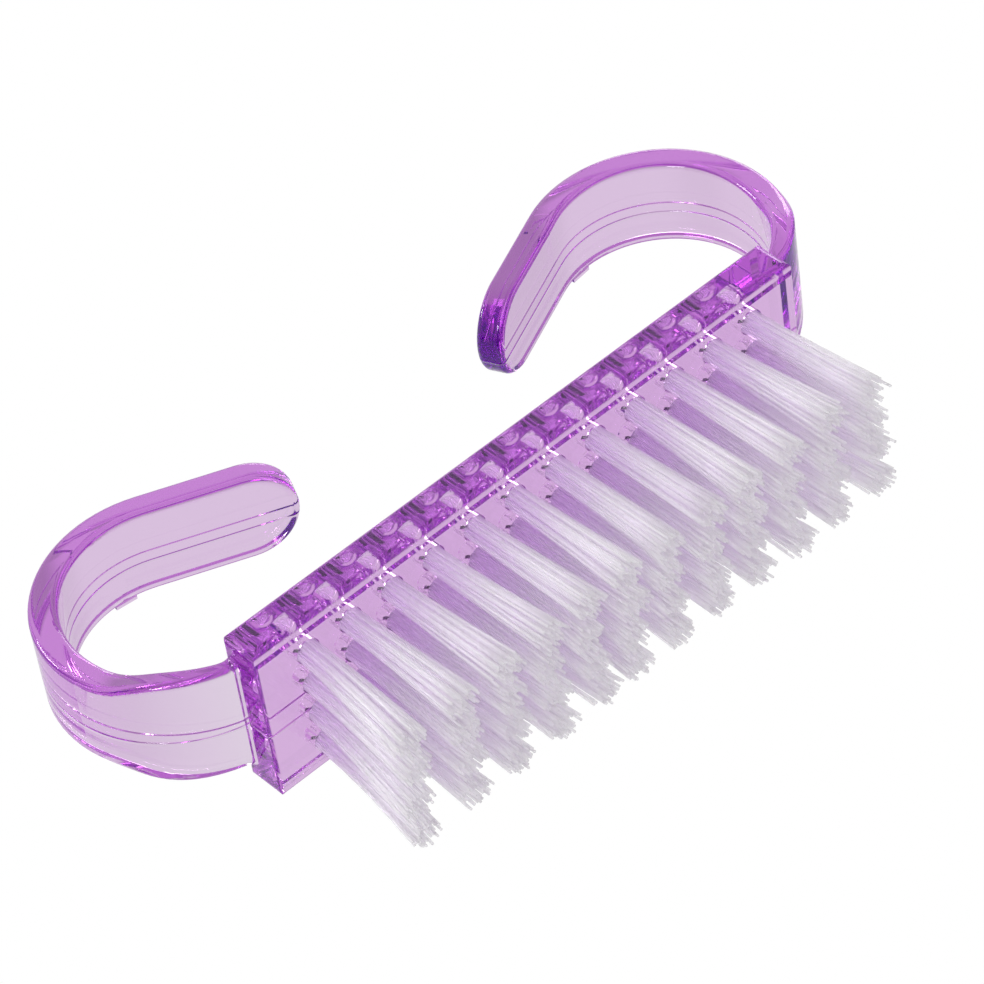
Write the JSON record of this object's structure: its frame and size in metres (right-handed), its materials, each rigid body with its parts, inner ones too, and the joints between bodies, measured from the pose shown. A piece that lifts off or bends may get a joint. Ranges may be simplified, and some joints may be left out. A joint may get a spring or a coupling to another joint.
{
  "type": "nail brush",
  "caption": "Handheld nail brush: clear purple plastic plate with a curled finger hook at each end, set with straight rows of clear nylon bristle tufts.",
  "frame": {"origin": "centre of the brush in plan, on the plane of the bristle tips", "axes": "+X along the brush towards one finger hook, +Y across it towards the gate marks, +Z from the bristle tips up to the hooks"},
  "size_m": [0.0654, 0.014, 0.0332],
  "materials": {
    "clear_purple_plastic": "clear tinted plastic, polished mould finish",
    "nylon_filament": "clear white nylon filament",
    "anchor_wire": "drawn flat wire, bright"
  },
  "bodies": {
    "root": {"moulded_body": "clear_purple_plastic", "tuft_row1_col01": "nylon_filament", "tuft_row1_col02": "nylon_filament", "tuft_row1_col03": "nylon_filament", "tuft_row1_col04": "nylon_filament", "tuft_row1_col05": "nylon_filament", "tuft_row1_col06": "nylon_filament", "tuft_row1_col07": "nylon_filament", "tuft_row1_col08": "nylon_filament", "tuft_row1_col09": "nylon_filament", "tuft_row1_col10": "nylon_filament", "tuft_row1_col11": "nylon_filament", "tuft_row1_col12": "nylon_filament", "tuft_row2_col01": "nylon_filament", "tuft_row2_col02": "nylon_filament", "tuft_row2_col03": "nylon_filament", "tuft_row2_col04": "nylon_filament", "tuft_row2_col05": "nylon_filament", "tuft_row2_col06": "nylon_filament", "tuft_row2_col07": "nylon_filament", "tuft_row2_col08": "nylon_filament", "tuft_row2_col09": "nylon_filament", "tuft_row2_col10": "nylon_filament", "tuft_row2_col11": "nylon_filament", "tuft_row2_col12": "nylon_filament", "tuft_row3_col01": "nylon_filament", "tuft_row3_col02": "nylon_filament", "tuft_row3_col03": "nylon_filament", "tuft_row3_col04": "nylon_filament", "tuft_row3_col05": "nylon_filament", "tuft_row3_col06": "nylon_filament", "tuft_row3_col07": "nylon_filament", "tuft_row3_col08": "nylon_filament", "tuft_row3_col09": "nylon_filament", "tuft_row3_col10": "nylon_filament", "tuft_row3_col11": "nylon_filament", "tuft_row3_col12": "nylon_filament", "tuft_row4_col01": "nylon_filament", "tuft_row4_col02": "nylon_filament", "tuft_row4_col03": "nylon_filament", "tuft_row4_col04": "nylon_filament", "tuft_row4_col05": "nylon_filament", "tuft_row4_col06": "nylon_filament", "tuft_row4_col07": "nylon_filament", "tuft_row4_col08": "nylon_filament", "tuft_row4_col09": "nylon_filament", "tuft_row4_col10": "nylon_filament", "tuft_row4_col11": "nylon_filament", "tuft_row4_col12": "nylon_filament", "anchors_row1": "anchor_wire", "anchors_row2": "anchor_wire", "anchors_row3": "anchor_wire", "anchors_row4": "anchor_wire"}
  },
  "joints": []
}
